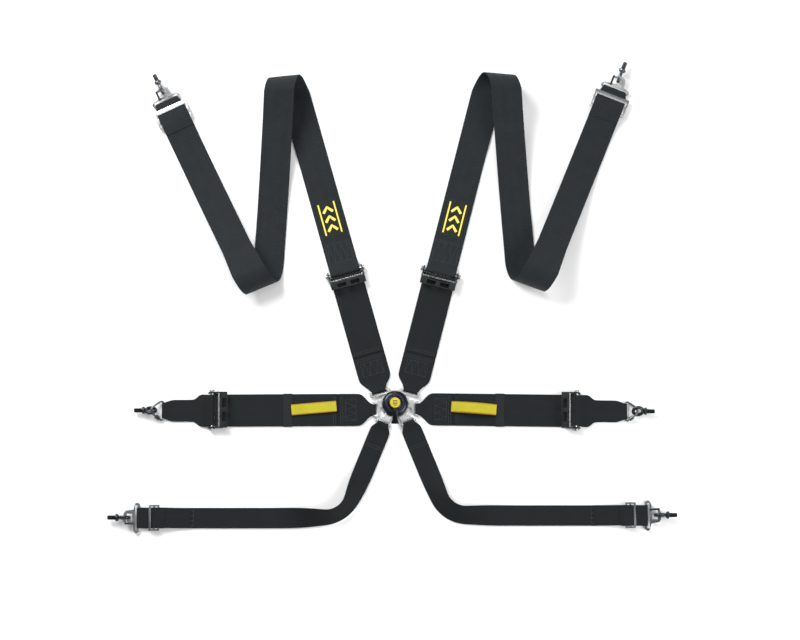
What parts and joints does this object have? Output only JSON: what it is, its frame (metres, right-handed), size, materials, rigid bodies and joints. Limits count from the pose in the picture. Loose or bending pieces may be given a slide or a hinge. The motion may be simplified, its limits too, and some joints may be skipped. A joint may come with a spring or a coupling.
{
  "type": "racing harness",
  "caption": "Six-strap racing harness laid flat: round cam-lock buckle, wide belts with adjusters, hooks and eye bolts.",
  "frame": {"origin": "centre of the buckle's flat back, on the surface the harness lies on", "axes": "+Y towards the shoulder anchors, +X towards the right-hand lap anchor, +Z off the surface"},
  "size_m": [1.3895, 1.1873, 0.0742],
  "materials": {
    "charcoal_webbing": "matte",
    "yellow_webbing": "matte",
    "black_metal": "satin",
    "satin_cap": "satin",
    "yellow_badge": "gloss",
    "bright_steel": "satin",
    "dark_steel": "satin"
  },
  "bodies": {
    "buckle": {"buckle_base": "bright_steel", "buckle_cover": "satin_cap", "pivot_screw": "dark_steel", "return_spring": "bright_steel", "latch_spring": "bright_steel", "lap_left_tongue": "bright_steel"},
    "lever": {"cam_rotor": "dark_steel", "release_lever": "satin_cap", "lever_badge": "yellow_badge"},
    "shoulder_left_tongue": {"shoulder_left_tongue": "bright_steel"},
    "shoulder_left_belt": {"shoulder_left_belt": "charcoal_webbing"},
    "shoulder_left_adjuster": {"shoulder_left_adjuster_frame": "black_metal", "shoulder_left_lock_bar": "dark_steel", "shoulder_left_adjuster_pin": "bright_steel"},
    "shoulder_left_webbing": {"shoulder_left_webbing": "charcoal_webbing", "shoulder_left_slide": "bright_steel"},
    "shoulder_left_hook": {"shoulder_left_hook": "bright_steel"},
    "shoulder_left_hook_gate": {"shoulder_left_hook_gate": "dark_steel"},
    "shoulder_left_eye_bolt": {"shoulder_left_eye_bolt": "dark_steel"},
    "lap_left_belt": {"lap_left_belt": "charcoal_webbing"},
    "lap_left_adjuster": {"lap_left_adjuster_frame": "black_metal", "lap_left_lock_bar": "dark_steel", "lap_left_adjuster_pin": "bright_steel"},
    "lap_left_end_strap": {"lap_left_end_strap": "charcoal_webbing"},
    "lap_left_pull_loop": {"lap_left_pull_loop": "yellow_webbing"},
    "lap_left_link": {"lap_left_link": "dark_steel", "lap_left_link_sleeve": "dark_steel"},
    "lap_left_eye_bolt": {"lap_left_eye_bolt": "dark_steel"},
    "crotch_left_tongue": {"crotch_left_tongue": "bright_steel"},
    "crotch_left_strap": {"crotch_left_strap": "charcoal_webbing", "crotch_left_slide": "bright_steel"},
    "crotch_left_hook": {"crotch_left_hook": "bright_steel"},
    "crotch_left_hook_gate": {"crotch_left_hook_gate": "dark_steel"},
    "crotch_left_eye_bolt": {"crotch_left_eye_bolt": "dark_steel"},
    "shoulder_right_tongue": {"shoulder_right_tongue": "bright_steel"},
    "shoulder_right_belt": {"shoulder_right_belt": "charcoal_webbing"},
    "shoulder_right_adjuster": {"shoulder_right_adjuster_frame": "black_metal", "shoulder_right_lock_bar": "dark_steel", "shoulder_right_adjuster_pin": "bright_steel"},
    "shoulder_right_webbing": {"shoulder_right_webbing": "charcoal_webbing", "shoulder_right_slide": "bright_steel"},
    "shoulder_right_hook": {"shoulder_right_hook": "bright_steel"},
    "shoulder_right_hook_gate": {"shoulder_right_hook_gate": "dark_steel"},
    "shoulder_right_eye_bolt": {"shoulder_right_eye_bolt": "dark_steel"},
    "lap_right_tongue": {"lap_right_tongue": "bright_steel"},
    "lap_right_belt": {"lap_right_belt": "charcoal_webbing"},
    "lap_right_adjuster": {"lap_right_adjuster_frame": "black_metal", "lap_right_lock_bar": "dark_steel", "lap_right_adjuster_pin": "bright_steel"},
    "lap_right_end_strap": {"lap_right_end_strap": "charcoal_webbing"},
    "lap_right_pull_loop": {"lap_right_pull_loop": "yellow_webbing"},
    "lap_right_link": {"lap_right_link": "dark_steel", "lap_right_link_sleeve": "dark_steel"},
    "lap_right_eye_bolt": {"lap_right_eye_bolt": "dark_steel"},
    "crotch_right_tongue": {"crotch_right_tongue": "bright_steel"},
    "crotch_right_strap": {"crotch_right_strap": "charcoal_webbing", "crotch_right_slide": "bright_steel"},
    "crotch_right_hook": {"crotch_right_hook": "bright_steel"},
    "crotch_right_hook_gate": {"crotch_right_hook_gate": "dark_steel"},
    "crotch_right_eye_bolt": {"crotch_right_eye_bolt": "dark_steel"}
  },
  "joints": [
    {"name": "lever_turn", "type": "hinge", "parent": "buckle", "child": "lever", "pos_m": [0, 0, 0.024], "axis": [0, 0, 1], "range_deg": [-40, 40], "stiffness_Nm_per_rad": 0.05, "deforming": ["return_spring"]},
    {"name": "shoulder_left_tongue_slide", "type": "slide", "parent": "buckle", "child": "shoulder_left_tongue", "axis": [-0.5, 0.866, 0], "range_m": [0, 0.02], "deforming": ["latch_spring"]},
    {"name": "shoulder_left_belt_lift", "type": "hinge", "parent": "shoulder_left_tongue", "child": "shoulder_left_belt", "pos_m": [-0.0403, 0.0315, 0.0055], "axis": [0.9627, 0.2706, 0], "range_deg": [0, 35]},
    {"name": "shoulder_left_adjuster_tilt", "type": "hinge", "parent": "shoulder_left_belt", "child": "shoulder_left_adjuster", "pos_m": [-0.1204, 0.31646, 0.011], "axis": [0.9627, 0.2706, 0], "range_deg": [0, 15]},
    {"name": "shoulder_left_webbing_swing", "type": "hinge", "parent": "shoulder_left_adjuster", "child": "shoulder_left_webbing", "pos_m": [-0.12419, 0.32993, 0.011], "axis": [0.9627, 0.2706, 0], "range_deg": [-15, 25]},
    {"name": "shoulder_left_hook_swing", "type": "hinge", "parent": "shoulder_left_webbing", "child": "shoulder_left_hook", "pos_m": [-0.57436, 0.7673, 0.006], "axis": [0.9026, 0.4305, 0], "range_deg": [0, 30]},
    {"name": "shoulder_left_hook_gate_open", "type": "hinge", "parent": "shoulder_left_hook", "child": "shoulder_left_hook_gate", "pos_m": [-0.59239, 0.77141, 0.00951], "axis": [-0.1259, 0.2639, -0.9563], "range_deg": [0, 18], "stiffness_Nm_per_rad": 0.02, "springref_deg": -5.73},
    {"name": "shoulder_left_eye_bolt_swing", "type": "hinge", "parent": "shoulder_left_hook", "child": "shoulder_left_eye_bolt", "pos_m": [-0.58395, 0.78741, 0.01665], "axis": [0.9026, 0.4305, 0], "range_deg": [-6, 8]},
    {"name": "lap_left_belt_lift", "type": "hinge", "parent": "buckle", "child": "lap_left_belt", "pos_m": [-0.052, -0.014, 0.0055], "axis": [-0.0052, 1, 0], "range_deg": [0, 35]},
    {"name": "lap_left_adjuster_tilt", "type": "hinge", "parent": "lap_left_belt", "child": "lap_left_adjuster", "pos_m": [-0.436, -0.01601, 0.011], "axis": [-0.0052, 1, 0], "range_deg": [0, 15]},
    {"name": "lap_left_end_strap_swing", "type": "hinge", "parent": "lap_left_adjuster", "child": "lap_left_end_strap", "pos_m": [-0.44999, -0.01608, 0.011], "axis": [-0.0052, 1, 0], "range_deg": [-15, 25]},
    {"name": "lap_left_pull_loop_lift", "type": "hinge", "parent": "lap_left_belt", "child": "lap_left_pull_loop", "pos_m": [-0.255, -0.01506, 0.00579], "axis": [0.0052, -1, 0], "range_deg": [0, 50]},
    {"name": "lap_left_link_swing", "type": "hinge", "parent": "lap_left_end_strap", "child": "lap_left_link", "pos_m": [-0.56999, -0.01671, 0.0052], "axis": [-0.0052, 1, 0], "range_deg": [0, 30]},
    {"name": "lap_left_eye_bolt_swing", "type": "hinge", "parent": "lap_left_link", "child": "lap_left_eye_bolt", "pos_m": [-0.58865, -0.01681, 0.0139], "axis": [-0.0052, 1, 0], "range_deg": [-10, 0]},
    {"name": "crotch_left_tongue_slide", "type": "slide", "parent": "buckle", "child": "crotch_left_tongue", "axis": [-0.5, -0.866, 0], "range_m": [0, 0.02], "deforming": ["latch_spring"]},
    {"name": "crotch_left_strap_lift", "type": "hinge", "parent": "crotch_left_tongue", "child": "crotch_left_strap", "pos_m": [-0.03, -0.0492, 0.0055], "axis": [-0.9272, 0.3746, 0], "range_deg": [0, 30]},
    {"name": "crotch_left_hook_swing", "type": "hinge", "parent": "crotch_left_strap", "child": "crotch_left_hook", "pos_m": [-0.626, -0.281, 0.006], "axis": [0, 1, 0], "range_deg": [0, 30]},
    {"name": "crotch_left_hook_gate_open", "type": "hinge", "parent": "crotch_left_hook", "child": "crotch_left_hook_gate", "pos_m": [-0.63748, -0.2955, 0.00951], "axis": [-0.2924, 0, -0.9563], "range_deg": [0, 18], "stiffness_Nm_per_rad": 0.02, "springref_deg": -5.73},
    {"name": "crotch_left_eye_bolt_swing", "type": "hinge", "parent": "crotch_left_hook", "child": "crotch_left_eye_bolt", "pos_m": [-0.64828, -0.281, 0.01665], "axis": [0, 1, 0], "range_deg": [-6, 8]},
    {"name": "shoulder_right_tongue_slide", "type": "slide", "parent": "buckle", "child": "shoulder_right_tongue", "axis": [0.5, 0.866, 0], "range_m": [0, 0.02], "deforming": ["latch_spring"]},
    {"name": "shoulder_right_belt_lift", "type": "hinge", "parent": "shoulder_right_tongue", "child": "shoulder_right_belt", "pos_m": [0.038, 0.0315, 0.0055], "axis": [0.9694, -0.2453, 0], "range_deg": [0, 35]},
    {"name": "shoulder_right_adjuster_tilt", "type": "hinge", "parent": "shoulder_right_belt", "child": "shoulder_right_adjuster", "pos_m": [0.10963, 0.31458, 0.011], "axis": [0.9694, -0.2453, 0], "range_deg": [0, 15]},
    {"name": "shoulder_right_webbing_swing", "type": "hinge", "parent": "shoulder_right_adjuster", "child": "shoulder_right_webbing", "pos_m": [0.11306, 0.32815, 0.011], "axis": [0.9694, -0.2453, 0], "range_deg": [-15, 25]},
    {"name": "shoulder_right_hook_swing", "type": "hinge", "parent": "shoulder_right_webbing", "child": "shoulder_right_hook", "pos_m": [0.55222, 0.79724, 0.006], "axis": [0.9273, -0.3743, 0], "range_deg": [0, 30]},
    {"name": "shoulder_right_hook_gate_open", "type": "hinge", "parent": "shoulder_right_hook", "child": "shoulder_right_hook_gate", "pos_m": [0.54307, 0.81331, 0.00951], "axis": [0.1094, 0.2711, -0.9563], "range_deg": [0, 18], "stiffness_Nm_per_rad": 0.02, "springref_deg": -5.73},
    {"name": "shoulder_right_eye_bolt_swing", "type": "hinge", "parent": "shoulder_right_hook", "child": "shoulder_right_eye_bolt", "pos_m": [0.56056, 0.8179, 0.01665], "axis": [0.9273, -0.3743, 0], "range_deg": [-6, 8]},
    {"name": "lap_right_tongue_slide", "type": "slide", "parent": "buckle", "child": "lap_right_tongue", "axis": [1, 0, 0], "range_m": [0, 0.02], "deforming": ["latch_spring"]},
    {"name": "lap_right_belt_lift", "type": "hinge", "parent": "lap_right_tongue", "child": "lap_right_belt", "pos_m": [0.054, -0.0122, 0.0055], "axis": [-0.0122, -0.9999, 0], "range_deg": [0, 35]},
    {"name": "lap_right_adjuster_tilt", "type": "hinge", "parent": "lap_right_belt", "child": "lap_right_adjuster", "pos_m": [0.43247, -0.01682, 0.011], "axis": [-0.0122, -0.9999, 0], "range_deg": [0, 15]},
    {"name": "lap_right_end_strap_swing", "type": "hinge", "parent": "lap_right_adjuster", "child": "lap_right_end_strap", "pos_m": [0.44647, -0.01699, 0.011], "axis": [-0.0122, -0.9999, 0], "range_deg": [-15, 25]},
    {"name": "lap_right_pull_loop_lift", "type": "hinge", "parent": "lap_right_belt", "child": "lap_right_pull_loop", "pos_m": [0.24899, -0.01458, 0.00579], "axis": [0.0122, 0.9999, 0], "range_deg": [0, 50]},
    {"name": "lap_right_link_swing", "type": "hinge", "parent": "lap_right_end_strap", "child": "lap_right_link", "pos_m": [0.56646, -0.01846, 0.0052], "axis": [-0.0122, -0.9999, 0], "range_deg": [0, 30]},
    {"name": "lap_right_eye_bolt_swing", "type": "hinge", "parent": "lap_right_link", "child": "lap_right_eye_bolt", "pos_m": [0.58512, -0.01869, 0.0139], "axis": [-0.0122, -0.9999, 0], "range_deg": [-10, 0]},
    {"name": "crotch_right_tongue_slide", "type": "slide", "parent": "buckle", "child": "crotch_right_tongue", "axis": [0.5, -0.866, 0], "range_m": [0, 0.02], "deforming": ["latch_spring"]},
    {"name": "crotch_right_strap_lift", "type": "hinge", "parent": "crotch_right_tongue", "child": "crotch_right_strap", "pos_m": [0.0335, -0.0467, 0.0055], "axis": [-0.9272, -0.3746, 0], "range_deg": [0, 30]},
    {"name": "crotch_right_hook_swing", "type": "hinge", "parent": "crotch_right_strap", "child": "crotch_right_hook", "pos_m": [0.6125, -0.2747, 0.006], "axis": [0, -1, 0], "range_deg": [0, 30]},
    {"name": "crotch_right_hook_gate_open", "type": "hinge", "parent": "crotch_right_hook", "child": "crotch_right_hook_gate", "pos_m": [0.62398, -0.2602, 0.00951], "axis": [0.2924, 0, -0.9563], "range_deg": [0, 18], "stiffness_Nm_per_rad": 0.02, "springref_deg": -5.73},
    {"name": "crotch_right_eye_bolt_swing", "type": "hinge", "parent": "crotch_right_hook", "child": "crotch_right_eye_bolt", "pos_m": [0.63478, -0.2747, 0.01665], "axis": [0, -1, 0], "range_deg": [-6, 8]}
  ]
}
